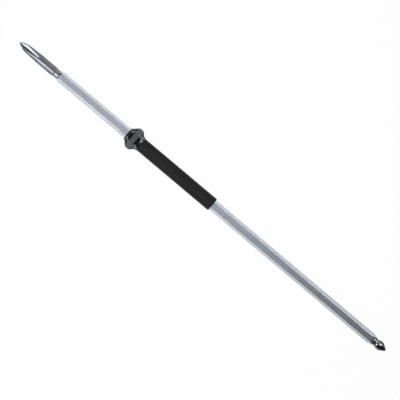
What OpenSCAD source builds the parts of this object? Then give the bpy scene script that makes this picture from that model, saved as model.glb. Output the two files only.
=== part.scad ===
// Double-ended screwdriver with a grip sleeve that clamps anywhere along its bar.
// The tool's axis lies along X, with the long cross point at -X and the short, necked one at +X.
// Both hexagons stand with a flat up and a flat down. The origin is on the axis, halfway along the tool.

/* [Bar] */
// Size of the hexagonal bar across its flats
hex_af = 6.35; // [5.5:0.05:7]
// Length of the hexagonal bar
bar_length = 258.1; // [160:0.1:400]
// How far the turned face at each end of the bar lies inside the flats
bar_end_inset = 0.175; // [0.05:0.005:0.6]
// Angle of the turned chamfer at each end, from the axis
bar_chamfer_angle = 20; // [15:1:45]
// Depth of the socket in each end that a tip is brazed into
socket_depth = 12; // [6:0.5:20]

/* [Long tip] */
// Length of the long cross tip in front of the bar
long_reach = 31.7; // [24:0.1:50]
// Radius of the round shank
long_shank_r = 3; // [2.6:0.05:3.5]
// Radius of the nose, where the point's cone begins
long_nose_r = 0.8; // [0.6:0.05:1.2]
// Length of the bevel that blunts the nose
long_nose_bevel = 0.25; // [0.1:0.05:0.4]
// Angle of the point's cone, from the axis
long_point_angle = 25.5; // [22:0.5:32]
// Radius of the turned neck next to the bar
long_neck_r = 2.7; // [2.2:0.05:2.9]
// Length of the neck
long_neck_length = 3.1; // [1.5:0.1:6]
// Radius of the spigot in the bar's socket
long_spigot_r = 1.9; // [1.2:0.05:2.1]
// Distance from the axis to the bottom of a flute, at the nose
long_flute_floor = 0.65; // [0.5:0.05:0.75]
// Slope of a flute's bottom, in degrees
long_flute_slope = 7; // [5:0.5:9]
// Length of a flute before the cutting wheel lifts out
long_flute_length = 14.5; // [7:0.5:16]
// Radius of the cutting wheel
long_wheel_r = 5; // [5:0.5:14]
// Half of the flute's included angle
long_flute_half_angle = 55; // [46:1:56]
// Turn of the flutes about the axis
long_turn = -4; // [-45:1:45]

/* [Necked tip] */
// Length of the necked cross tip beyond the bar
necked_reach = 10.2; // [9.6:0.1:14]
// Radius of the head
necked_head_r = 2.9; // [2.6:0.05:3.2]
// Radius of the nose, where the point's cone begins
necked_nose_r = 0.75; // [0.6:0.05:1.2]
// Length of the bevel that blunts the nose
necked_nose_bevel = 0.2; // [0.1:0.05:0.4]
// Angle of the point's cone, from the axis
necked_point_angle = 32; // [28:0.5:38]
// Length of the straight head behind the cone
necked_head_length = 2; // [1:0.1:3]
// Length over which the head narrows to the neck
necked_flare_length = 1.7; // [1:0.1:2.6]
// Radius of the neck
necked_neck_r = 2.4; // [2.1:0.05:2.5]
// Radius of the ring next to the bar
necked_ring_r = 2.82; // [2.55:0.01:2.95]
// Length of the ring
necked_ring_length = 1.2; // [0.8:0.1:1.5]
// Length of the bevels beside the ring
necked_ring_bevel = 0.25; // [0.1:0.05:0.35]
// Radius of the spigot in the bar's socket
necked_spigot_r = 1.9; // [1.2:0.05:2.1]
// Distance from the axis to the bottom of a flute, at the nose
necked_flute_floor = 0.85; // [0.7:0.05:1]
// Slope of a flute's bottom, in degrees
necked_flute_slope = 6; // [4:0.5:9]
// Length of a flute before the cutting wheel lifts out
necked_flute_length = 3.6; // [2.5:0.1:4.5]
// Radius of the cutting wheel
necked_wheel_r = 5; // [4.5:0.25:8]
// Half of the flute's included angle
necked_flute_half_angle = 45; // [42:0.5:45]
// Turn of the flutes about the axis
necked_turn = 22; // [-45:1:45]
// Thickness of the rib along the bottom of each flute
rib_width = 0.4; // [0.25:0.05:0.6]
// Distance from the axis to the top of a rib
rib_r = 1.75; // [1.5:0.05:2]
// Length of a rib from the nose
rib_length = 4; // [2.5:0.1:4.5]

/* [Sleeve] */
// Distance from the bar's front end to the front of the lock nut
sleeve_setback = 56.7; // [20:0.1:80]
// Length of the sleeve from the front of the lock nut to the grip's rear end
sleeve_length = 69.7; // [45:0.1:95]
// Clearance between the bar and the sleeve's hexagonal bores, at each flat
slide_gap = 0.05; // [0.02:0.01:0.1]
// Thickness of the liner over the corners of its bore
liner_wall = 0.38; // [0.3:0.01:0.8]
// Thickness of the grip over the liner
grip_wall = 0.38; // [0.3:0.01:1]
// Radius of the grip's rounded rear edge
grip_end_round = 0.6; // [0.3:0.05:0.65]
// Thickness of the lip that closes the grip's rear end
grip_lip = 0.9; // [0.75:0.05:1.5]
// Thickness of the wiper washer inside that lip
wiper_thickness = 0.9; // [0.5:0.05:1.5]
// Clearance between the bar and the wiper, at each flat
wiper_gap = 0.015; // [0.01:0.005:0.05]

/* [Lock nut] */
// Size of the lock nut across its flats
nut_af = 13; // [12:0.1:15]
// Length of the lock nut
nut_length = 10.8; // [10.4:0.1:13]
// Length of the round lip at the nut's front
nut_lip_length = 1.4; // [1.2:0.1:2]
// Thickness of the lip round the nut's mouth
nut_lip_wall = 0.85; // [0.7:0.05:1]
// Length of the bevel on the lip's front edge
nut_lip_bevel = 0.6; // [0.1:0.05:0.65]
// Distance from the nut's front to where its flats begin
nut_flat_start = 3.6; // [2.8:0.1:4]
// Length of the flats
nut_flat_length = 3.6; // [2.5:0.1:4.5]
// Angle of the six front faces, from the axis
nut_front_slope = 41; // [38:0.5:50]
// Angle of the six rear faces, from the axis
nut_rear_slope = 42; // [38:0.5:50]
// How much is turned off the corners at each end of the flats
nut_corner_relief = 0.35; // [0.1:0.05:0.5]
// Length along which the corners are turned
nut_corner_run = 0.8; // [0.3:0.1:1.2]
// Length of the round hub behind the rear faces
nut_hub_length = 2.6; // [1.5:0.1:3.4]
// Thickness of the hub's front round the nut's bore
nut_hub_wall = 0.85; // [0.5:0.05:1.1]
// Thickness of the hub's rear edge round the nut's bore
nut_edge = 0.15; // [0.1:0.01:0.3]
// Clearance between the bar's corners and the nut's mouth
mouth_gap = 0.18; // [0.1:0.01:0.4]
// Length of the straight mouth
nut_mouth_length = 1.2; // [0.8:0.1:1.6]
// Gap between the tightened nut and the grip
nut_seat_gap = 0.04; // [0.02:0.01:0.2]

/* [Thread] */
// Pitch of the thread between the liner and the nut
thread_pitch = 0.75; // [0.5:0.05:0.8]
// Number of turns, which show as rings
thread_turns = 5; // [3:1:5]
// Depth of the thread
thread_depth = 0.3; // [0.2:0.05:0.35]
// How far the threaded end stands above the rest of the liner
thread_rise = 0.4; // [0.35:0.01:0.6]
// Length of the undercut between the threaded end and the grip
thread_relief = 0.6; // [0.55:0.01:0.75]
// Radial clearance between the nut's bore and the thread
thread_gap = 0.05; // [0.03:0.01:0.1]

/* [Clamp ring] */
// Length of the clamp ring
ring_length = 3.2; // [2.4:0.1:3.6]
// Length of its tapered nose
ring_taper_length = 1.3; // [0.8:0.1:1.6]
// Width of its slots
ring_slot = 0.5; // [0.3:0.05:0.8]
// Length that each slot leaves uncut
ring_bridge = 0.8; // [0.5:0.05:1.2]
// Clearance between the ring and the nut and liner
ring_gap = 0.08; // [0.05:0.01:0.12]

/* [O-ring] */
// Radius of the O-ring's section
o_ring_section_r = 0.28; // [0.2:0.02:0.32]
// Clearance round the O-ring
o_ring_gap = 0.02; // [0.01:0.005:0.04]
// Distance from the tightened nut's rear edge to the middle of the O-ring
o_ring_inset = 1.95; // [1.8:0.05:2.2]

/* [Hidden] */
$fn = 72;

// How far a cutting shape runs past what it cuts
overrun = 1;
// Clearance of brazed and pressed fits
fit_gap = 0.02;
// Sides of the bar and of the nut
hex_sides = 6;
// Number of flutes round a point
flutes = 4;
// Number of slots in the clamp ring, cut from each end in turn
ring_slots = 6;
// Width of the thread's crest as a share of its pitch
crest_share = 0.15;
// Where the clamp ring's nose lies between the nut's mouth and the ring's own radius
ring_nose_share = 0.25;

// Places along the tool
tool_length = long_reach + bar_length + necked_reach;
bar_x0 = long_reach - tool_length / 2;
bar_x1 = bar_x0 + bar_length;
nut_x0 = bar_x0 + sleeve_setback;
nut_x1 = nut_x0 + nut_length;
ring_x0 = nut_x0 + nut_mouth_length + ring_gap;
ring_x1 = ring_x0 + ring_length;
liner_x0 = ring_x1 + ring_gap;
grip_x0 = nut_x1 + nut_seat_gap;
land_x1 = grip_x0 - thread_relief;
grip_x1 = nut_x0 + sleeve_length;
wiper_x1 = grip_x1 - grip_lip;
liner_x1 = wiper_x1 - wiper_thickness;
o_ring_x = nut_x1 - o_ring_inset;

// Radii, from the bar outwards
hex_corner_r = hex_af / sqrt(3);
bar_end_r = hex_af / 2 - bar_end_inset;
bore_af = hex_af + 2 * slide_gap;
liner_r = bore_af / sqrt(3) + liner_wall;
grip_r = liner_r + fit_gap + grip_wall;
thread_r = liner_r + thread_rise;
nut_bore_r = thread_r + thread_gap;
ring_r = nut_bore_r - ring_gap;
o_ring_r = nut_bore_r - o_ring_gap - o_ring_section_r;
mouth_r = hex_corner_r + mouth_gap;
ring_nose_r = mouth_r + (ring_r - mouth_r) * ring_nose_share;
nut_corner_r = nut_af / sqrt(3);

// A hexagonal prism along X with flats up and down
module hex_prism(af, x0, x1)
    translate([x0, 0, 0])
        rotate([0, 90, 0])
            rotate(30)
                cylinder(h = x1 - x0, r = af / sqrt(3), $fn = hex_sides);

// Turns a flat shape, drawn with its radius along X and its place along Y, about the tool's axis
module turn_about_x()
    rotate([0, 90, 0])
        rotate_extrude()
            children();

// A solid turned about X from an outline of [place along X, radius] points
module turned(outline)
    turn_about_x()
        polygon([for (p = outline) [p[1], p[0]]]);

// V grooves round the axis, with their bottoms at radius r + depth, or r - depth for a negative depth
module v_grooves(first_x, count, r, depth) {
    reach = thread_pitch * (1 - crest_share);
    for (k = [0 : count - 1])
        turned([[first_x + k * thread_pitch - reach, r - depth],
                [first_x + k * thread_pitch, r + depth],
                [first_x + k * thread_pitch + reach, r - depth]]);
}

// A V groove that rises from the nose at x = 0 and ends where the wheel that cuts it lifts out
module flute(floor_r, slope, length, wheel_r, half_angle, depth) {
    spread = depth * tan(half_angle);
    translate([0, 0, floor_r])
        rotate([0, -slope, 0]) {
            translate([-overrun, 0, 0])
                rotate([90, 0, 90])
                    linear_extrude(length + overrun)
                        polygon([[0, 0], [spread, depth], [-spread, depth]]);
            translate([length, 0, wheel_r])
                rotate([90, 0, 0])
                    rotate_extrude()
                        polygon([[wheel_r, 0], [wheel_r - depth, spread], [0, spread],
                                 [0, -spread], [wheel_r - depth, -spread]]);
        }
}

// A turned tip with flutes cut into its point, nose at x = 0
module fluted(outline, turn, floor_r, slope, length, wheel_r, half_angle, depth)
    difference() {
        turned(outline);
        for (k = [0 : flutes - 1])
            rotate([turn + k * 360 / flutes, 0, 0])
                flute(floor_r, slope, length, wheel_r, half_angle, depth);
    }

// The socket for a tip's spigot, from the bar's end at x = 0 towards +X
module socket(spigot_r)
    translate([-overrun, 0, 0])
        rotate([0, 90, 0])
            cylinder(h = socket_depth + overrun, r = spigot_r + fit_gap);

module hex_bar() {
    chamfer_run = (hex_corner_r - bar_end_r) / tan(bar_chamfer_angle);
    color([0.68, 0.71, 0.75])
        difference() {
            intersection() {
                hex_prism(hex_af, bar_x0, bar_x1);
                turned([[bar_x0, 0], [bar_x0, bar_end_r], [bar_x0 + chamfer_run, hex_corner_r],
                        [bar_x1 - chamfer_run, hex_corner_r], [bar_x1, bar_end_r], [bar_x1, 0]]);
            }
            translate([bar_x0, 0, 0]) socket(long_spigot_r);
            translate([bar_x1, 0, 0]) mirror([1, 0, 0]) socket(necked_spigot_r);
        }
}

module long_cross_tip() {
    point_length = long_nose_bevel + (long_shank_r - long_nose_r) / tan(long_point_angle);
    neck_step = long_shank_r - long_neck_r;
    spigot_x1 = long_reach + socket_depth - fit_gap;
    outline = [
        [0, 0],
        [0, long_nose_r - long_nose_bevel],
        [long_nose_bevel, long_nose_r],
        [point_length, long_shank_r],
        [long_reach - long_neck_length - neck_step, long_shank_r],
        [long_reach - long_neck_length, long_neck_r],
        [long_reach, long_neck_r],
        [long_reach, long_spigot_r],
        [spigot_x1, long_spigot_r],
        [spigot_x1, 0]
    ];
    color([0.38, 0.39, 0.42])
        translate([bar_x0 - long_reach, 0, 0])
            fluted(outline, long_turn, long_flute_floor, long_flute_slope, long_flute_length,
                   long_wheel_r, long_flute_half_angle, long_shank_r + overrun);
}

module necked_cross_tip() {
    point_length = necked_nose_bevel + (necked_head_r - necked_nose_r) / tan(necked_point_angle);
    flare_start = point_length + necked_head_length;
    ring_start = necked_reach - necked_ring_length;
    spigot_x1 = necked_reach + socket_depth - fit_gap;
    outline = [
        [0, 0],
        [0, necked_nose_r - necked_nose_bevel],
        [necked_nose_bevel, necked_nose_r],
        [point_length, necked_head_r],
        [flare_start, necked_head_r],
        [flare_start + necked_flare_length, necked_neck_r],
        [ring_start - necked_ring_bevel, necked_neck_r],
        [ring_start, necked_ring_r],
        [necked_reach - necked_ring_bevel, necked_ring_r],
        [necked_reach, necked_ring_r - necked_ring_bevel],
        [necked_reach, necked_spigot_r],
        [spigot_x1, necked_spigot_r],
        [spigot_x1, 0]
    ];
    color([0.34, 0.35, 0.38])
        translate([bar_x1 + necked_reach, 0, 0])
            mirror([1, 0, 0]) {
                fluted(outline, necked_turn, necked_flute_floor, necked_flute_slope,
                       necked_flute_length, necked_wheel_r, necked_flute_half_angle,
                       necked_head_r + overrun);
                intersection() {
                    turned(outline);
                    for (k = [0 : flutes / 2 - 1])
                        rotate([necked_turn + k * 360 / flutes, 0, 0])
                            translate([0, -rib_width / 2, -rib_r])
                                cube([rib_length, rib_width, 2 * rib_r]);
                }
            }
}

module liner_tube() {
    groove_half = o_ring_section_r + o_ring_gap;
    color([0.55, 0.56, 0.58])
        difference() {
            turned([[liner_x0, 0], [liner_x0, thread_r - thread_depth],
                    [liner_x0 + thread_depth, thread_r], [land_x1, thread_r],
                    [land_x1, liner_r], [liner_x1, liner_r], [liner_x1, 0]]);
            hex_prism(bore_af, liner_x0 - overrun, liner_x1 + overrun);
            v_grooves(liner_x0 + thread_pitch, thread_turns - 1, thread_r, -thread_depth);
            turned([[o_ring_x - groove_half, o_ring_r - groove_half],
                    [o_ring_x - groove_half, thread_r + overrun],
                    [o_ring_x + groove_half, thread_r + overrun],
                    [o_ring_x + groove_half, o_ring_r - groove_half]]);
        }
}

module grip_sleeve() {
    length = grip_x1 - grip_x0;
    color([0.15, 0.15, 0.15])
        translate([grip_x0, 0, 0])
            difference() {
                turn_about_x() {
                    square([grip_r, length - grip_end_round]);
                    square([grip_r - grip_end_round, length]);
                    translate([grip_r - grip_end_round, length - grip_end_round])
                        circle(r = grip_end_round);
                }
                turned([[-overrun, 0], [-overrun, liner_r + fit_gap],
                        [length - grip_lip, liner_r + fit_gap], [length - grip_lip, mouth_r],
                        [length + overrun, mouth_r], [length + overrun, 0]]);
            }
}

module wiper_washer()
    color([0.07, 0.07, 0.07])
        difference() {
            turned([[liner_x1 + fit_gap, 0], [liner_x1 + fit_gap, liner_r],
                    [wiper_x1 - fit_gap, liner_r], [wiper_x1 - fit_gap, 0]]);
            hex_prism(hex_af + 2 * wiper_gap, liner_x1 - overrun, wiper_x1 + overrun);
        }

module clamp_ring()
    color([0.8, 0.66, 0.36])
        difference() {
            turned([[ring_x0, 0], [ring_x0, ring_nose_r], [ring_x0 + ring_taper_length, ring_r],
                    [ring_x1, ring_r], [ring_x1, 0]]);
            hex_prism(bore_af, ring_x0 - overrun, ring_x1 + overrun);
            for (k = [0 : ring_slots - 1])
                rotate([k * 360 / ring_slots, 0, 0])
                    translate([k % 2 == 0 ? ring_x0 - overrun : ring_x0 + ring_bridge, 0, -ring_slot / 2])
                        cube([ring_length - ring_bridge + overrun, ring_r + overrun, ring_slot]);
        }

// Cuts the six sloping faces at one end of the nut's flats, towards -X for a positive slope
module slope_cuts(x, slope)
    for (k = [0 : hex_sides - 1])
        rotate([k * 360 / hex_sides, 0, 0])
            translate([x, 0, nut_af / 2])
                rotate([0, -slope, 0])
                    translate([-nut_length, -nut_corner_r, 0])
                        cube([2 * nut_length, 2 * nut_corner_r, nut_length]);

module lock_nut() {
    lip_r = mouth_r + nut_lip_wall;
    lip_x1 = nut_x0 + nut_lip_length;
    flat_x0 = nut_x0 + nut_flat_start;
    flat_x1 = flat_x0 + nut_flat_length;
    relief_r = nut_corner_r - nut_corner_relief;
    hub_x0 = nut_x1 - nut_hub_length;
    pocket_x0 = nut_x0 + nut_mouth_length;
    color([0.3, 0.31, 0.33])
        difference() {
            union() {
                difference() {
                    intersection() {
                        hex_prism(nut_af, lip_x1, nut_x1);
                        turned([[flat_x0 - relief_r, 0], [flat_x0, relief_r],
                                [flat_x0 + nut_corner_run, nut_corner_r],
                                [flat_x1 - nut_corner_run, nut_corner_r],
                                [flat_x1, relief_r], [flat_x1 + relief_r, 0]]);
                    }
                    slope_cuts(flat_x0, nut_front_slope);
                    slope_cuts(flat_x1, -nut_rear_slope);
                }
                turned([[nut_x0, 0], [nut_x0, lip_r - nut_lip_bevel], [nut_x0 + nut_lip_bevel, lip_r],
                        [hub_x0, lip_r], [hub_x0, nut_bore_r + nut_hub_wall],
                        [nut_x1, nut_bore_r + nut_edge], [nut_x1, 0]]);
            }
            turned([[nut_x0 - overrun, 0], [nut_x0 - overrun, mouth_r], [pocket_x0, mouth_r],
                    [pocket_x0, ring_nose_r + ring_gap],
                    [pocket_x0 + ring_gap + ring_taper_length, nut_bore_r],
                    [nut_x1 + overrun, nut_bore_r], [nut_x1 + overrun, 0]]);
            v_grooves(liner_x0 + thread_pitch / 2, thread_turns - 1, nut_bore_r, thread_depth);
        }
}

module nut_o_ring()
    color([0.05, 0.05, 0.05])
        translate([o_ring_x, 0, 0])
            turn_about_x()
                translate([o_ring_r, 0])
                    circle(r = o_ring_section_r);

hex_bar();
long_cross_tip();
necked_cross_tip();
liner_tube();
grip_sleeve();
wiper_washer();
clamp_ring();
lock_nut();
nut_o_ring();
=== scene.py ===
# %% [markdown]
# # A double-ended screwdriver with a clamping sleeve
#
# The tool is a hexagonal steel bar with a cross-shaped point at each end. A black tube slides along the
# bar, and a hexagonal nut at the tube's front locks it there. Steel parts like these are turned on a lathe
# and then milled, and this lesson makes them in the same way: an outline is spun into a blank, and a
# milling cut then takes material away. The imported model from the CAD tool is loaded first. It stays as it
# is, and gives the places.

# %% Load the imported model
import math

import bmesh
import bpy
from mathutils import Matrix, Vector


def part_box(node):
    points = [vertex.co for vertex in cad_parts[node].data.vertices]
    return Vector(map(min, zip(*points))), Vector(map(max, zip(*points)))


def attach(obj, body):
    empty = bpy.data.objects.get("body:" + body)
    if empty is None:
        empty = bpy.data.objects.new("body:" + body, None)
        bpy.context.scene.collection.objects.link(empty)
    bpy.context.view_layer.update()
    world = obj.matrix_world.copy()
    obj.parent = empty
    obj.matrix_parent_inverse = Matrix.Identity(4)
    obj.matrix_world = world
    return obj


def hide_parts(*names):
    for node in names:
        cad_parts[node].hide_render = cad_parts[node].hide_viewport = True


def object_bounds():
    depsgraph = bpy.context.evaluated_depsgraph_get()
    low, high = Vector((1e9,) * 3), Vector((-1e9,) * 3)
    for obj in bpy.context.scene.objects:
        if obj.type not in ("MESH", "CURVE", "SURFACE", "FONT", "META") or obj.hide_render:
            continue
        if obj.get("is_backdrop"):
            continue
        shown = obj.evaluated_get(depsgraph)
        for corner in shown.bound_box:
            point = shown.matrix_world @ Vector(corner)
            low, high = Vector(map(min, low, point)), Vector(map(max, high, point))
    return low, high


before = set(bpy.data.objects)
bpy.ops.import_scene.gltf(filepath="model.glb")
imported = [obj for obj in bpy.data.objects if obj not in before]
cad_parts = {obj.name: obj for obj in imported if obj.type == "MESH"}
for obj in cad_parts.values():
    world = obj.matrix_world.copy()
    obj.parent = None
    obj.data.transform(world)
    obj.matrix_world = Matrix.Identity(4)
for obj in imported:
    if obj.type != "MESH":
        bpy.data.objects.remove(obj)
cad_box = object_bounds()

# %% [markdown]
# Blender works in metres and the tool's drawing is in millimetres, so every size below is a number times
# `mm`. `span` reads from the CAD model where a part begins and ends along the tool, and `radius` how far it
# reaches from the axis. A piece that takes its place from there can't drift away from the solid that it
# stands for.

# %% Units and places
mm = 0.001


def span(node):
    lo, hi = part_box(node)
    return lo.x, hi.x


def radius(node):
    lo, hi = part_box(node)
    return (hi.y - lo.y) / 2


bar_x0, bar_x1 = span("hex_bar")
nut_x0, nut_x1 = span("lock_nut")
grip_x0, grip_x1 = span("grip_sleeve")
print("bar", round((bar_x1 - bar_x0) / mm, 2), "mm, grip", round((grip_x1 - grip_x0) / mm, 2), "mm")

# %% [markdown]
# ## Camera
#
# A product photographer lays such a tool on a table and looks straight down through a long lens, which
# keeps the bar's sides parallel. Only the camera is turned, so that the tool lies aslant in the picture. A
# camera without perspective would do nearly the same, but a real lens has a little of it.

# %% Camera
lens, sensor = 180, 36
view_width = 251.39 * mm
roll = math.radians(40.114)
look_at = Vector((0.09 * mm, -2.76 * mm, 0))

camera_data = bpy.data.cameras.new("camera")
camera_data.lens, camera_data.sensor_width = lens, sensor
camera_data.clip_start, camera_data.clip_end = 0.01, 50
camera = bpy.data.objects.new("camera", camera_data)
bpy.context.scene.collection.objects.link(camera)
camera.location = look_at + Vector((0, 0, view_width * lens / sensor))
camera.rotation_euler = (0, 0, roll)
bpy.context.scene.camera = camera
print("camera", round(camera.location.z, 3), "m above the tool")

# %% [markdown]
# ## Helpers for materials
#
# A finish is a small network of nodes. `finish` starts one, and `node` adds a node and wires it in a single
# line: a value that is a socket is linked, and anything else is typed into the input. An input is given by
# its name, or as `i0`, `i1` and so on where a node's inputs share a name. Patterns read Object coordinates,
# in metres, so a scale of 1000 makes details about a millimetre wide.

# %% Start a finish and add nodes to it


def finish(name, metallic, roughness, color, **more):
    mat = bpy.data.materials.new(name)
    mat.use_nodes = True
    shader = mat.node_tree.nodes["Principled BSDF"]
    shader.inputs["Metallic"].default_value = metallic
    shader.inputs["Roughness"].default_value = roughness
    shader.inputs["Base Color"].default_value = (*color, 1)
    for key, value in more.items():
        shader.inputs[key.replace("_", " ")].default_value = value
    return mat, shader


def node(mat, kind, settings=None, **inputs):
    made = mat.node_tree.nodes.new("ShaderNode" + kind)
    for key, value in (settings or {}).items():
        setattr(made, key, value)
    for key, value in inputs.items():
        numbered = key[0] == "i" and key[1:].isdigit()
        socket = made.inputs[int(key[1:]) if numbered else key.replace("_", " ")]
        if isinstance(value, bpy.types.NodeSocket):
            mat.node_tree.links.new(value, socket)
        else:
            socket.default_value = value
    return made


def wire(mat, output, shader, name):
    mat.node_tree.links.new(output, shader.inputs[name])


def report(mat):
    print(mat.name, "has", len(mat.node_tree.nodes), "nodes")


# %% [markdown]
# Most patterns here are noise that is stretched one way: along the bar for drawn steel, round the axis for
# turned steel. `grain` makes such a noise. `between` turns a value into another range, `blend` turns it
# into a colour between two others, and `calc` does arithmetic with two. That is how one noise can drive
# colour, roughness and bump together. A Mix node that mixes colours has them at its inputs 6 and 7 and
# gives the result at its output 2.

# %% Noise, ranges and bump
mix_color_inputs, mix_color_output = (6, 7), 2


def grain(mat, scale, detail=4, rough=0.55):
    coords = node(mat, "TexCoord").outputs["Object"]
    placed = node(mat, "Mapping", Vector=coords, Scale=scale).outputs["Vector"]
    return node(mat, "TexNoise", Vector=placed, Scale=1.0, Detail=detail, Roughness=rough).outputs["Fac"]


def between(mat, value, low, high, start=0.0, end=1.0):
    return node(mat, "MapRange", i0=value, i1=start, i2=end, i3=low, i4=high).outputs["Result"]


def blend(mat, value, color_a, color_b):
    mix = node(mat, "Mix", {"data_type": "RGBA"}, i0=value)
    for index, color in zip(mix_color_inputs, (color_a, color_b)):
        if isinstance(color, bpy.types.NodeSocket):
            mat.node_tree.links.new(color, mix.inputs[index])
        else:
            mix.inputs[index].default_value = (*color, 1)
    return mix.outputs[mix_color_output]


def calc(mat, operation, a, b):
    return node(mat, "Math", {"operation": operation}, i0=a, i1=b).outputs[0]


def bump(mat, shader, height, distance, strength=1.0):
    made = node(mat, "Bump", Strength=strength, Distance=distance, Height=height)
    wire(mat, made.outputs["Normal"], shader, "Normal")


def attribute(mat, name):
    return node(mat, "Attribute", {"attribute_name": name}).outputs["Fac"]


# %% [markdown]
# ## Floor, lamps and sky
#
# The tool lies on a white table. More light could make the table white, but it would also bleach the steel.
# So the floor is mixed from two surfaces. One is real and matt, and keeps a trace of shadow. The other is a
# plain white glow, which the camera sees almost alone and mirror-like surfaces see only a little of.

# %% Floor
floor_glow, mirrored_glow = 0.96, 0.15
floor_size, floor_gap = 30.0, 0.05 * mm
floor_z = cad_box[0].z - floor_gap
floor_mesh = bpy.data.meshes.new("floor")
bm = bmesh.new()
bmesh.ops.create_grid(bm, x_segments=1, y_segments=1, size=floor_size / 2)
bmesh.ops.translate(bm, verts=bm.verts, vec=(0, 0, floor_z))
bm.to_mesh(floor_mesh)
bm.free()
floor = bpy.data.objects.new("floor", floor_mesh)
bpy.context.scene.collection.objects.link(floor)
floor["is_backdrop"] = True

floor_mat, floor_shader = finish("white table", 0.0, 0.9, (0.9, 0.9, 0.9))
path = node(floor_mat, "LightPath").outputs
glow = node(floor_mat, "Emission", Color=(1, 1, 1, 1), Strength=1.0).outputs[0]
mirrored = calc(floor_mat, "MAXIMUM", path["Is Glossy Ray"], path["Is Transmission Ray"])
mirrored = calc(floor_mat, "MULTIPLY", mirrored, mirrored_glow)
seen = calc(floor_mat, "MAXIMUM", path["Is Camera Ray"], mirrored)
share = between(floor_mat, seen, 0.0, floor_glow)
mixed = node(floor_mat, "MixShader", i0=share, i1=floor_shader.outputs[0], i2=glow).outputs[0]
floor_mat.node_tree.links.new(mixed, floor_mat.node_tree.nodes["Material Output"].inputs["Surface"])
floor_mesh.materials.append(floor_mat)
print("floor", floor_size, "m wide,", round(floor_z / mm, 2), "mm from the tool's axis")

# %% [markdown]
# Steel shows its surroundings, so each lamp is placed for what one face mirrors. The box overhead hangs
# over the long tip's end, and the bar's top face grows darker away from it. The high key on the near side
# draws the bright line along the round shank, and the low key further left lights one wall of the flute.
# Both end beside the neck, so that nut and bar don't mirror them. The wall behind is broad and dim, for the
# far half of all that is round, and the box behind the short tip lights the far half of that tip only. The
# last lamp lights the table and the black plastic evenly, but no surface mirrors it.

# %% Lamps


def soft_box(name, place, target, size, power, color=(1, 1, 1)):
    lamp = bpy.data.lights.new(name, "AREA")
    lamp.shape, lamp.size, lamp.size_y = "RECTANGLE", size[0], size[1]
    lamp.energy, lamp.color = power, color
    obj = bpy.data.objects.new(name, lamp)
    bpy.context.scene.collection.objects.link(obj)
    obj.location = place
    obj.rotation_euler = (Vector(target) - Vector(place)).to_track_quat("-Z", "Y").to_euler()
    return obj


key_color, wall_color = (0.95, 0.98, 1.0), (0.94, 0.97, 1.0)
overhead_color, tip_color = (0.86, 0.92, 1.0), (0.88, 0.94, 1.0)

lamps = [
    soft_box("box overhead", (-0.15, 0.0, 0.62), (-0.15, 0, 0), (0.5, 0.5), 0.405, overhead_color),
    soft_box("high key on the near side", (-0.4, -0.64, 0.865), (-0.4, 0, 0), (0.56, 0.4), 2.5, key_color),
    soft_box("low key on the left", (-0.42, -0.922, 0.554), (-0.42, 0, 0), (0.48, 0.34), 1.5, key_color),
    soft_box("wall behind", (0.05, 0.9, 0.55), (0, 0, 0), (1.4, 0.5), 2.0, wall_color),
    soft_box("box behind the short tip", (0.205, 0.43, 0.66), (0.145, 0, 0), (0.18, 0.5), 0.68, tip_color),
    soft_box("fill for the table", (-0.07, -0.06, 0.27), (-0.07, 0, 0), (0.25, 0.25), 0.6),
]
lamps[-1].visible_glossy = False
print(len(lamps), "lamps with", round(sum(lamp.data.energy for lamp in lamps), 2), "W in all")

# %% [markdown]
# A picture of a studio could be wrapped round the scene, but a plain sky is enough here: dark near the
# horizon and a little lighter overhead. The nut's sloping faces mirror its dark part, and that is why they
# come out nearly black, as in the photo, although the nut's flats are grey.

# %% Sky
horizon_level, overhead_level = 0.03, 0.08
horizon_ends, overhead_starts = 0.1, 0.9

world = bpy.data.worlds.new("studio")
world.use_nodes = True
bpy.context.scene.world = world
bpy.context.scene.view_settings.view_transform = "Standard"
up = node(world, "SeparateXYZ", Vector=node(world, "TexCoord").outputs["Generated"]).outputs["Z"]
level = between(world, up, horizon_level, overhead_level, horizon_ends, overhead_starts)
sky = world.node_tree.nodes["Background"]
sky.inputs["Color"].default_value = (0.93, 0.96, 1.0, 1)
wire(world, level, sky, "Strength")
print("sky", horizon_level, "at the horizon and", overhead_level, "overhead")

# %% [markdown]
# ## Helpers for turned pieces
#
# A lathe part is drawn as half of its outline: points with a place along the axis and a distance from it.
# `outline_wire` joins them. `soften` bevels chosen corners of that wire, and `divide` cuts long lines
# shorter, so that a milling cut has vertices to work on. `turn` spins the wire about the X axis.
#
# The wire gets one face while its corners are bevelled, because a bevel of vertices needs one, and the face
# is deleted again before the spin. An outline that ends on the axis is not closed, so its lines along the
# axis go too, and the points there are welded into one.

# %% Outline, soft corners and spin
weld_distance, axis_slack = 0.0005 * mm, 1e-9


def outline_wire(points):
    bm = bmesh.new()
    verts = [bm.verts.new((x, 0, r)) for x, r in points]
    bm.faces.new(verts)
    return bm, verts


def soften(bm, verts, width, segments=3):
    bmesh.ops.bevel(bm, geom=verts, offset=width, offset_type="OFFSET", affect="VERTICES",
                    segments=segments, profile=0.5, material=-1, clamp_overlap=True)


def divide(bm, longest, x_from=-math.inf, x_to=math.inf):
    for edge in list(bm.edges):
        middle = (edge.verts[0].co.x + edge.verts[1].co.x) / 2
        cuts = math.ceil(edge.calc_length() / longest) - 1
        if x_from <= middle <= x_to and cuts > 0:
            bmesh.ops.subdivide_edges(bm, edges=[edge], cuts=cuts)


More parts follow.
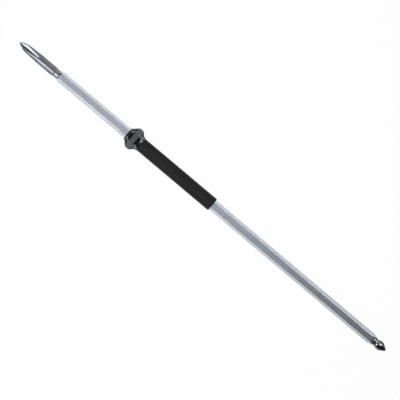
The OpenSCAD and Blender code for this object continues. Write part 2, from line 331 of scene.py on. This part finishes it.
def turn(bm, steps, closed):
    bmesh.ops.delete(bm, geom=bm.faces[:], context="FACES_ONLY")
    if not closed:
        on_axis = [e for e in bm.edges if all(abs(v.co.z) < axis_slack for v in e.verts)]
        bmesh.ops.delete(bm, geom=on_axis, context="EDGES")
    bmesh.ops.spin(bm, geom=bm.verts[:] + bm.edges[:], cent=(0, 0, 0), axis=(1, 0, 0), dvec=(0, 0, 0),
                   angle=math.tau, steps=steps, use_merge=True, use_duplicate=False)
    bmesh.ops.remove_doubles(bm, verts=bm.verts, dist=weld_distance)
    bmesh.ops.recalc_face_normals(bm, faces=bm.faces)


# %% [markdown]
# A milling cut is given as a function that says how far from the axis a cutter leaves the metal, at a place
# `x` and an angle round the axis. `mill` moves each vertex of the blank inwards to that distance. Where the
# cut runs out into the blank, a real cutter leaves a crisp edge that is then broken with a brush, so the
# two distances are joined by a smooth minimum that rounds the edge. Where a cutter takes nothing, the
# function gives `uncut`, a metre, which is far outside every blank.
#
# Two values are kept on each vertex for the materials: `edge`, how close it lies to such an edge, and
# `cut`, whether the cutter has passed over it. Bright ground metal and worn edges are painted with them.

# %% Milling
uncut = 1.0


def smooth_min(a, b, soft):
    near = max(soft - abs(a - b), 0.0) / soft
    return min(a, b) - near * near * soft / 4, near


def mill(bm, cut_radius, soft, inside=0.0, x_from=-math.inf, x_to=math.inf):
    edge_layer = bm.verts.layers.float.get("edge") or bm.verts.layers.float.new("edge")
    cut_layer = bm.verts.layers.float.get("cut") or bm.verts.layers.float.new("cut")
    for v in bm.verts:
        r = math.hypot(v.co.y, v.co.z)
        if r <= inside or not x_from <= v.co.x <= x_to:
            continue
        limit = cut_radius(v.co.x, math.atan2(v.co.y, v.co.z))
        new_r, near = smooth_min(r, limit, soft)
        v[edge_layer] = max(v[edge_layer], near)
        if limit < r:
            v[cut_layer] = 1.0
        v.co.y *= new_r / r
        v.co.z *= new_r / r


# %% [markdown]
# `off_centre` gives the angle between a direction and the nearest of some evenly spaced ones. A hexagon is
# six flat cuts. Seen along a ray at some angle, a flat lies at its distance divided by the cosine of the
# angle between them, and the nearest of the six counts.
#
# `make_piece` turns a finished shape into an object. It shades it smooth but keeps edges over `sharp`
# degrees crisp. Then it hangs the piece on the body of the tool that it moves with, gives it its finish, and
# hides the CAD solids that it stands for.

# %% Hexagon and object helpers


def off_centre(angle, first_angle, count):
    share = math.tau / count
    return abs((angle - first_angle + share / 2) % share - share / 2)


def hexagon_radius(across_flats, angle):
    return across_flats / 2 / math.cos(off_centre(angle, first_angle=0, count=6))


def make_piece(name, bm, body, nodes, material, sharp=30):
    for face in bm.faces:
        face.smooth = True
    for edge in bm.edges:
        edge.smooth = len(edge.link_faces) != 2 or edge.calc_face_angle(0) < math.radians(sharp)
    mesh = bpy.data.meshes.new(name)
    bm.to_mesh(mesh)
    bm.free()
    mesh.materials.append(material)
    obj = bpy.data.objects.new(name, mesh)
    bpy.context.scene.collection.objects.link(obj)
    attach(obj, body)
    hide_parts(*nodes)
    print(name, len(mesh.polygons), "faces")


# %% [markdown]
# ## The bar's finish: satin chrome
#
# The bar is drawn through a hexagonal die, which leaves fine lines along it, and then gets satin chrome. A
# picture of brushed metal would repeat and show a seam, so the lines are noise stretched along X. A second,
# cloudy noise makes slightly bluer and greyer patches, and the sleeve has rubbed a few longer scratches
# into the plating. The corners are a little brighter and smoother, because the sleeve and the hand polish
# them.

# %% Satin chrome
satin, satin_shader = finish("satin chrome", 1.0, 0.3, (0.62, 0.65, 0.7))
drawn = grain(satin, (60, 5200, 5200), detail=5)
cloud = grain(satin, (130, 260, 260), detail=3)
scratch = grain(satin, (25, 9000, 9000), detail=2, rough=0.4)
scratch = between(satin, scratch, 0.0, 1.0, 0.68, 0.74)
worn = attribute(satin, "edge")
tone = blend(satin, between(satin, cloud, 0.0, 1.0, 0.35, 0.65), (0.60, 0.635, 0.70), (0.70, 0.72, 0.76))
tone = blend(satin, between(satin, drawn, 0.0, 0.5, 0.3, 0.75), tone, (0.78, 0.80, 0.83))
tone = blend(satin, between(satin, worn, 0.0, 0.6), tone, (0.86, 0.87, 0.89))
wire(satin, tone, satin_shader, "Base Color")
rough = between(satin, drawn, 0.24, 0.38, 0.25, 0.75)
rough = calc(satin, "SUBTRACT", rough, between(satin, worn, 0.0, 0.06))
wire(satin, rough, satin_shader, "Roughness")
bump(satin, satin_shader, calc(satin, "SUBTRACT", drawn, scratch), 0.004 * mm, 0.5)
report(satin)

# %% [markdown]
# ## The bar
#
# A hexagonal bar could be a cylinder with six sides, but its corners would be knife-sharp, and no drawn bar
# has such corners. So the section starts as a hexagon, its corners are bevelled, and its flats are divided,
# because the turned chamfer at each end cuts every flat in a curve. `hex_af` is the width across two flats,
# a quarter of an inch.

# %% Section of the bar
hex_af, corner_round = 6.35 * mm, 0.22 * mm
sharp_corner_r = hex_af / math.sqrt(3)
polished_band = 0.03 * mm

bm = bmesh.new()
bmesh.ops.create_circle(bm, cap_ends=True, segments=6, radius=sharp_corner_r)
soften(bm, bm.verts[:], corner_round, segments=4)
bmesh.ops.delete(bm, geom=bm.faces[:], context="FACES_ONLY")
flats = [e for e in bm.edges if e.calc_length() > hex_af / 3]
bmesh.ops.subdivide_edges(bm, edges=flats, cuts=15)
bmesh.ops.rotate(bm, verts=bm.verts, cent=(0, 0, 0), matrix=Matrix.Rotation(math.pi / 2, 3, "Y"))
full_layer = bm.verts.layers.float.new("full")
edge_layer = bm.verts.layers.float.new("edge")
corner_r = max(v.co.length for v in bm.verts)
for v in bm.verts:
    v[full_layer] = v.co.length
    v[edge_layer] = 1.0 if v.co.length > corner_r - polished_band else 0.0
print("section of", len(bm.verts), "points, corners", round(corner_r / mm, 3), "mm from the axis")

# %% [markdown]
# The section is extruded along the tool, ring by ring, and each ring is pulled in to a round limit: the
# wall of the socket that a tip is brazed into, the end face, the cone of the chamfer, and then none for the
# long straight part. The same list of rings serves both ends, read forwards and backwards.

# %% Bar, extruded ring by ring
end_r, end_break = 3.0 * mm, 0.06 * mm
socket_r, socket_depth = 1.92 * mm, 12.0 * mm
chamfer_slope = math.tan(math.radians(20))
chamfer_length = (sharp_corner_r - end_r) / chamfer_slope
chamfer_rings, chamfer_soft = 16, 0.05 * mm
ring_step = chamfer_length / chamfer_rings

ends = [(socket_depth, socket_r), (0.0, socket_r), (0.0, end_r - end_break)]
ends += [(end_break + t * ring_step, end_r + t * ring_step * chamfer_slope) for t in range(chamfer_rings + 1)]
ends += [(chamfer_length + 0.4 * mm, uncut)]
rings = [(bar_x0 + x, r) for x, r in ends] + [(bar_x1 - x, r) for x, r in reversed(ends)]


def place_ring(verts, x, limit):
    for v in verts:
        r, near = smooth_min(v[full_layer], limit, chamfer_soft)
        v.co = (x, *(Vector((v.co.y, v.co.z)).normalized() * r))
        if limit > socket_r:
            v[edge_layer] = max(near, 1.0 if v[full_layer] > corner_r - polished_band else 0.0)


place_ring(bm.verts, *rings[0])
ring_edges = bm.edges[:]
first_loop = ring_edges
for x, limit in rings[1:]:
    made = bmesh.ops.extrude_edge_only(bm, edges=ring_edges)["geom"]
    ring_edges = [g for g in made if isinstance(g, bmesh.types.BMEdge)]
    place_ring([g for g in made if isinstance(g, bmesh.types.BMVert)], x, limit)
bmesh.ops.contextual_create(bm, geom=first_loop)
bmesh.ops.contextual_create(bm, geom=ring_edges)
bmesh.ops.recalc_face_normals(bm, faces=bm.faces)
make_piece("bar_softened", bm, "blade", ["hex_bar"], satin)

# %% [markdown]
# ## The points' finish: dark ground steel
#
# The tips are hardened, which turns the steel dark grey, and then ground. The wheel leaves bright flutes
# with fine lines along them, and the screw heads polish the edges of the four wings. Flutes and shank could
# have a material each, but then a hard line would part them. One material that reads the `cut` and `edge`
# values from the milling fades between them. The round shank keeps fine turning marks, so its grain runs
# round the axis: the noise is stretched along Y and Z and fine along X.
#
# A metal shader turns white where it is seen at a shallow angle, and on a white table that draws a pale rim
# round each piece. The photo shows dark outlines instead, so the Specular Tint, the colour of the rim, is
# dark.
#
# The short tip is smoother, and its flutes are coloured nearly black: painted shade in their hollows. So
# the finish takes three numbers: how light the shank and the flutes are, and how much of the roughness is
# left.

# %% Dark ground steel


def shaded(amount, *colors):
    return [tuple(amount * c for c in color) for color in colors]


def ground_steel(name, shank_shade, flute_shade, polish):
    rim = (0.08, 0.08, 0.08, 1)
    mat, shader = finish(name, 1.0, 0.3, (0.3, 0.31, 0.34), Specular_Tint=rim)
    turned_marks = grain(mat, (7000, 300, 300), detail=4)
    ground_marks = grain(mat, (250, 6500, 6500), detail=4)
    stain = grain(mat, (260, 420, 420), detail=3)
    cut = attribute(mat, "cut")
    low, high, fresh = shaded(shank_shade, (0.23, 0.24, 0.265), (0.31, 0.32, 0.345), (0.39, 0.4, 0.42))
    flute_low, flute_high = shaded(flute_shade, (0.55, 0.56, 0.59), (0.7, 0.71, 0.73))
    shank = blend(mat, between(mat, stain, 0.0, 1.0, 0.3, 0.7), low, high)
    shank = blend(mat, between(mat, turned_marks, 0.0, 0.4, 0.35, 0.7), shank, fresh)
    flute = blend(mat, between(mat, ground_marks, 0.0, 1.0, 0.3, 0.75), flute_low, flute_high)
    worn = between(mat, attribute(mat, "edge"), 0.0, 0.6, 0.3, 1.0)
    tone = blend(mat, worn, blend(mat, cut, shank, flute), flute_high)
    wire(mat, tone, shader, "Base Color")
    shank_rough = between(mat, turned_marks, 0.2 * polish, 0.34 * polish, 0.25, 0.75)
    flute_rough = between(mat, ground_marks, 0.16 * polish, 0.3 * polish, 0.25, 0.75)
    wire(mat, blend(mat, cut, shank_rough, flute_rough), shader, "Roughness")
    bump(mat, shader, blend(mat, cut, turned_marks, ground_marks), 0.004 * mm, 0.6)
    report(mat)
    return mat


dark = ground_steel("dark ground steel", shank_shade=1.1, flute_shade=0.66, polish=1.0)
# The short tip's flutes are nearly black: painted shade in their hollows.
flute_shaded_steel = ground_steel("ground steel with painted flute shade", shank_shade=1.1, flute_shade=0.1, polish=0.5)

# %% [markdown]
# ## The long tip
#
# A cross point starts as a turned pin: a blunt nose, a cone, the shank and the neck, with a spigot for the
# bar's socket. It could be cut with boolean cutters, but their edges would be knife-sharp and hard to
# soften. Here a fine blank is spun, and each vertex is pushed down to the floor and walls of the four V
# flutes.
#
# The floor of a flute rises slowly from the nose. At its end the grinding wheel lifts out, so the floor
# goes on as an arc of the wheel. `flute_floor` gives that height, and `flutes_radius` the walls of the V. A
# wall ends just before the ray runs along it, because its distance would grow without end there.

# %% Flutes
wall_end = 0.005


def flute_floor(s, floor_r, slope, length, wheel_r):
    lift = math.radians(slope)
    centre_s = length * math.cos(lift) - wheel_r * math.sin(lift)
    centre_r = floor_r + length * math.sin(lift) + wheel_r * math.cos(lift)
    if s <= length * math.cos(lift):
        return floor_r + s * math.tan(lift)
    rest = wheel_r ** 2 - (s - centre_s) ** 2
    return centre_r - math.sqrt(rest) if rest > 0 else uncut


def flutes_radius(floor, angle, first_angle, half_angle):
    off, half = off_centre(angle, first_angle, count=4), math.radians(half_angle)
    return floor * math.sin(half) / math.sin(half - off) if off < half - wall_end else uncut


# %% [markdown]
# Each corner of a tip's outline has three numbers, in millimetres: how far it lies from the nose, its
# radius, and the width of its bevel. Both tips start at their nose, and `away` says whether the tool goes
# on along X or against it. `tip_blank` divides only the fluted length finely, because the cutter moves no
# vertex elsewhere.

# %% Blank of a tip


def tip_blank(points, start_x, away, longest, fluted_length, steps):
    bm, verts = outline_wire([(start_x + away * s * mm, r * mm) for s, r, _ in points])
    for width in sorted({soft for _, _, soft in points if soft}):
        soften(bm, [v for v, p in zip(verts, points) if p[2] == width], width * mm, segments=4)
    fluted_x = sorted((start_x, start_x + away * fluted_length))
    divide(bm, longest, *fluted_x)
    divide(bm, longest=1.5 * mm)
    turn(bm, steps, closed=False)
    return bm


# %% [markdown]
# The long tip's flutes open wide and rise slowly, so that one wall is light and the other dark. Its neck is
# nearly as bright as the flutes in the photo, so once they are cut, the neck gets a `cut` value as well.

# %% Long tip
nose_x = span("long_cross_tip")[0]
long_outline = [(0, 0, 0), (0, 0.55, 0), (0.25, 0.8, 0.1), (4.863, 3.0, 0.7), (28.3, 3.0, 0.08),
                (28.6, 2.7, 0.08), (31.7, 2.7, 0), (31.7, 1.9, 0), (43.68, 1.9, 0), (43.68, 0, 0)]
long_fluted, neck_start, neck_cut = 17 * mm, 28.5 * mm, 0.9
bm = tip_blank(long_outline, nose_x, away=1, longest=0.12 * mm, fluted_length=long_fluted, steps=192)


def long_flutes(x, angle):
    floor = flute_floor(x - nose_x, floor_r=0.65 * mm, slope=7, length=14.5 * mm, wheel_r=5 * mm)
    return flutes_radius(floor, angle, first_angle=math.radians(4), half_angle=55)


mill(bm, long_flutes, soft=0.12 * mm, inside=0.1 * mm, x_to=nose_x + long_fluted)
cut_layer = bm.verts.layers.float["cut"]
for v in bm.verts:
    if v.co.x > nose_x + neck_start:
        v[cut_layer] = neck_cut
make_piece("long_tip_ground", bm, "blade", ["long_cross_tip"], dark, sharp=40)

# %% [markdown]
# ## The short tip
#
# The short point has thin ribs along the bottom of its flutes, which key into the extra grooves of some
# screws. They could be four thin plates set into the flutes, but a plate would meet the flute in a seam. A
# rib is a narrow wall of the same steel, so the metal that the cutter leaves is whichever stands higher,
# the flute or the rib.

# %% Short tip
end_x = span("necked_cross_tip")[1]
necked_outline = [(0, 0, 0), (0, 0.55, 0), (0.2, 0.75, 0.08), (3.64, 2.9, 0.3), (5.64, 2.9, 0.4),
                  (7.34, 2.4, 0.4), (8.75, 2.4, 0.08), (9.0, 2.82, 0.08), (9.95, 2.82, 0.08), (10.2, 2.57, 0),
                  (10.2, 1.9, 0), (22.18, 1.9, 0), (22.18, 0, 0)]
necked_fluted, necked_turn = 8 * mm, math.radians(-22)
rib_half, rib_top, rib_length = 0.2 * mm, 1.75 * mm, 4.0 * mm
bm = tip_blank(necked_outline, end_x, away=-1, longest=0.09 * mm, fluted_length=necked_fluted, steps=216)


def rib_radius(angle):
    off = off_centre(angle, necked_turn, count=4)
    return min(rib_top / math.cos(off), rib_half / max(math.sin(off), 1e-6))


def necked_flutes(x, angle):
    s = end_x - x
    floor = flute_floor(s, floor_r=0.85 * mm, slope=6, length=3.6 * mm, wheel_r=5 * mm)
    left = flutes_radius(floor, angle, first_angle=necked_turn, half_angle=45)
    return max(left, rib_radius(angle)) if s < rib_length else left


mill(bm, necked_flutes, soft=0.08 * mm, inside=0.1 * mm, x_from=end_x - necked_fluted)
make_piece("short_tip_ground", bm, "blade", ["necked_cross_tip"], flute_shaded_steel, sharp=40)

# %% [markdown]
# ## The nut's finish: blackened steel
#
# The nut is blackened in hot salts, which gives a thin, dark, slightly oily skin. Black paint would be made
# as a plastic, but this skin still mirrors like metal, so it is a dark metal with small patches of
# different grey. Its dark Specular Tint is painted shade: it dims what the faces mirror at a shallow angle,
# the white table round the nut. It wears to grey steel along the corners where spanners and
# fingers rub. The milling's `edge` value brings that wear, broken up by noise.

# %% Blackened steel
# A dark rim colour: painted shade in the reflections seen at a shallow angle.
rim = (0.15, 0.15, 0.15, 1)
black, black_shader = finish("blackened steel", 1.0, 0.17, (0.16, 0.17, 0.175), Specular_Tint=rim)
skin = grain(black, (900, 900, 900), detail=5)
milled = grain(black, (5200, 700, 700), detail=3)
worn = attribute(black, "edge")
tone = blend(black, between(black, skin, 0.0, 1.0, 0.3, 0.7), (0.112, 0.121, 0.124), (0.196, 0.207, 0.21))
rubbed = calc(black, "MULTIPLY", between(black, worn, 0.0, 1.0, 0.35, 1.0),
              between(black, skin, 0.25, 1.0, 0.4, 0.62))
tone = blend(black, rubbed, tone, (0.4, 0.4, 0.41))
wire(black, tone, black_shader, "Base Color")
wire(black, between(black, skin, 0.13, 0.21, 0.3, 0.7), black_shader, "Roughness")
bump(black, black_shader, milled, 0.005 * mm, 0.5)
report(black)

# %% [markdown]
# ## The lock nut
#
# A hexagonal prism with a hole would be quick to make, but this nut is shaped on a lathe first. Its blank
# has a thin lip at the front, two cones, and a hub that tapers to the tube. Its bore holds a straight
# mouth, a tapered seat for the clamp ring and a thread. Then a mill cuts six flats and six sloping faces at
# each end. The blank's outline below is one closed loop, front to back along the outside and back along the
# bore. Its rear cone runs down to the hub, and the place where they meet is looked for in steps of a
# hundredth of a millimetre.

# %% Outline of the nut
nut_length, bore_r, mouth_r, seat_r = nut_x1 - nut_x0, 4.554 * mm, 3.846 * mm, 4.083 * mm
mouth_length, seat_end = 1.2 * mm, 2.58 * mm
nut_af, lip_r, lip_length = 13 * mm, 4.696 * mm, 1.4 * mm
lip_cone, lip_cone_length = 0.6 * mm, 1.1 * mm
flat_start, flat_end = 3.6 * mm, 7.2 * mm
front_slope, rear_slope = math.tan(math.radians(41)), math.tan(math.radians(42))
nut_corner_r = nut_af / math.sqrt(3)
relief_r, corner_run = nut_corner_r - 0.35 * mm, 0.8 * mm
hub_start, hub_r0, hub_r1 = nut_length - 2.6 * mm, 5.404 * mm, 4.704 * mm
pitch, thread_depth, groove_half, grooves = 0.75 * mm, 0.3 * mm, 0.319 * mm, 4
thread_start = 4.56 * mm + pitch / 2


def hub_radius(s):
    share = (s - hub_start) / (nut_length - hub_start)
    return hub_r0 + (hub_r1 - hub_r0) * share if share >= 0 else lip_r


places = [hundredths * 0.01 * mm for hundredths in range(690, 1080)]
meet = next(s for s in places if relief_r - (s - flat_end) < hub_radius(s))
outer = [(0, mouth_r), (0, lip_r - lip_cone), (lip_cone_length, lip_r), (lip_length, lip_r),
         (lip_length, relief_r - flat_start + lip_length), (flat_start, relief_r),
         (flat_start + corner_run, nut_corner_r), (flat_end - corner_run, nut_corner_r),
         (flat_end, relief_r), (meet, hub_radius(meet)), (nut_length, hub_r1)]
thread = [(thread_start + k * pitch + side * groove_half, bore_r + (thread_depth if side == 0 else 0))
          for k in range(grooves) for side in (-1, 0, 1)]
bore = [(mouth_length, mouth_r), (mouth_length, seat_r), (seat_end, bore_r)] + thread + [(nut_length, bore_r)]
print("nut blank of", len(outer) + len(bore), "corners, hub meets the cone at", round(meet / mm, 2), "mm")

# %% [markdown]
# The six flats stop at sloping faces, so the cut at a place `s` behind the front is a hexagon whose size
# grows along the front slope, stays on the flats and shrinks along the rear slope. Hub and lip stand inside
# the cuts and keep their round shape.

# %% Nut
lip_soft, hub_soft, slope_soft, cut_soft = 0.08 * mm, 0.25 * mm, 0.3 * mm, 0.16 * mm
past_thread_r = bore_r + 0.31 * mm
bm, verts = outline_wire([(nut_x0 + s, r) for s, r in outer + bore[::-1]])
soften(bm, verts[:3], lip_soft)
soften(bm, [verts[len(outer) - 2]], hub_soft)
divide(bm, longest=0.16 * mm)
turn(bm, steps=300, closed=True)


def nut_cuts(x, angle):
    s = x - nut_x0
    front = nut_af - 2 * (flat_start - s) * front_slope
    rear = nut_af - 2 * (s - flat_end) * rear_slope
    size, _ = smooth_min(smooth_min(front, rear, slope_soft)[0], nut_af, cut_soft)
    return max(hexagon_radius(size, angle), hub_radius(s))


mill(bm, nut_cuts, cut_soft, inside=past_thread_r, x_from=nut_x0 + lip_length)
make_piece("nut_milled", bm, "nut", ["lock_nut"], black, sharp=40)

# %% [markdown]
# ## The grip's finish: satin black plastic
#
# The tube is black plastic, dull but not matt. One even black would look like a hole in the picture, so
# three noises break it up. A very fine pebble comes from the mould, and hands leave areas that are slightly
# shinier. Long thin scuffs run along it, a little greyer than the rest.

# %% Satin black plastic
plastic_black, plastic_shine = (0.014, 0.014, 0.013), 0.15
plastic, plastic_shader = finish("satin black plastic", 0.0, 0.55, plastic_black,
                                 Specular_IOR_Level=plastic_shine)
pebble = grain(plastic, (4200, 4200, 4200), detail=3)
handled = grain(plastic, (70, 160, 160), detail=3)
scuff = between(plastic, grain(plastic, (60, 3800, 3800), detail=3), 0.0, 1.0, 0.63, 0.72)
tone = blend(plastic, handled, (0.010, 0.010, 0.0095), (0.019, 0.019, 0.018))
tone = blend(plastic, between(plastic, scuff, 0.0, 0.5), tone, (0.05, 0.05, 0.048))
wire(plastic, tone, plastic_shader, "Base Color")
wire(plastic, between(plastic, handled, 0.48, 0.62, 0.3, 0.7), plastic_shader, "Roughness")
bump(plastic, plastic_shader, pebble, 0.012 * mm, 0.5)
report(plastic)

# %% [markdown]
# ## The grip
#
# The grip is a plain thin tube whose rear end is rounded and closed by a lip round the bar. A tube could
# get its wall from a Solidify modifier, but the lip is thicker than the wall. So it is one closed outline,
# spun round the axis, with its edges softened before the spin.

# %% Grip
grip_r, grip_bore_r, grip_lip = radius("grip_sleeve"), 4.124 * mm, 0.9 * mm
rear_round, front_break, lip_break = 0.6 * mm, 0.1 * mm, 0.12 * mm
loop = [(grip_x0, grip_bore_r), (grip_x0, grip_r), (grip_x1, grip_r), (grip_x1, mouth_r),
        (grip_x1 - grip_lip, mouth_r), (grip_x1 - grip_lip, grip_bore_r)]
bm, verts = outline_wire(loop)
soften(bm, [verts[2]], rear_round, segments=8)
soften(bm, [verts[1]], front_break)
soften(bm, [verts[3], verts[4]], lip_break)
divide(bm, longest=4 * mm)
turn(bm, steps=144, closed=True)
make_piece("grip_tube", bm, "sleeve", ["grip_sleeve"], plastic)

# %% [markdown]
# ## The parts inside
#
# Four parts hide in the sleeve and keep their CAD shapes: the liner that guides the bar, the brass clamp
# ring, the wiper washer and the O-ring. Some show at the nut's mouth, or behind the nut once it is turned
# off the liner, so they get finishes of their own: turning marks that run round the metal parts, and a
# dusty bloom on the rubber. Their CAD objects are left as they are, and only the material in each slot is
# changed.

# %% Turned aluminium, brass and rubber


def turned_metal(name, dull, shiny, low, high):
    mat, shader = finish(name, 1.0, 0.3, dull)
    rings = grain(mat, (8000, 200, 200), detail=3)
    wire(mat, blend(mat, between(mat, rings, 0.0, 1.0, 0.3, 0.7), dull, shiny), shader, "Base Color")
    wire(mat, between(mat, rings, low, high, 0.3, 0.7), shader, "Roughness")
    bump(mat, shader, rings, 0.006 * mm, 0.6)
    report(mat)
    return mat


aluminium = turned_metal("turned aluminium", (0.55, 0.56, 0.58), (0.78, 0.79, 0.8), 0.22, 0.38)
brass = turned_metal("turned brass", (0.5, 0.36, 0.15), (0.78, 0.62, 0.3), 0.2, 0.36)

rubber, rubber_shader = finish("black rubber", 0.0, 0.7, (0.02, 0.02, 0.02))
bloom = grain(rubber, (1500, 1500, 1500), detail=4)
wire(rubber, blend(rubber, bloom, (0.012, 0.012, 0.012), (0.04, 0.04, 0.04)), rubber_shader, "Base Color")
wire(rubber, between(rubber, bloom, 0.55, 0.85), rubber_shader, "Roughness")
bump(rubber, rubber_shader, bloom, 0.01 * mm, 0.4)
report(rubber)

hidden_parts = {"liner_tube": aluminium, "clamp_ring": brass, "wiper_washer": rubber, "nut_o_ring": rubber}
for name, mat in hidden_parts.items():
    for material_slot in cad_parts[name].material_slots:
        material_slot.material = mat
print("finished inside:", sorted(hidden_parts))

# %% [markdown]
# ## Size
#
# The visual model must stay as large as the CAD model, so both boxes are printed side by side.

# %% Print both boxes
visual_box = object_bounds()
for title, box in (("cad", cad_box), ("visual", visual_box)):
    print(title, "box in mm", [round(c / mm, 2) for v in box for c in v])
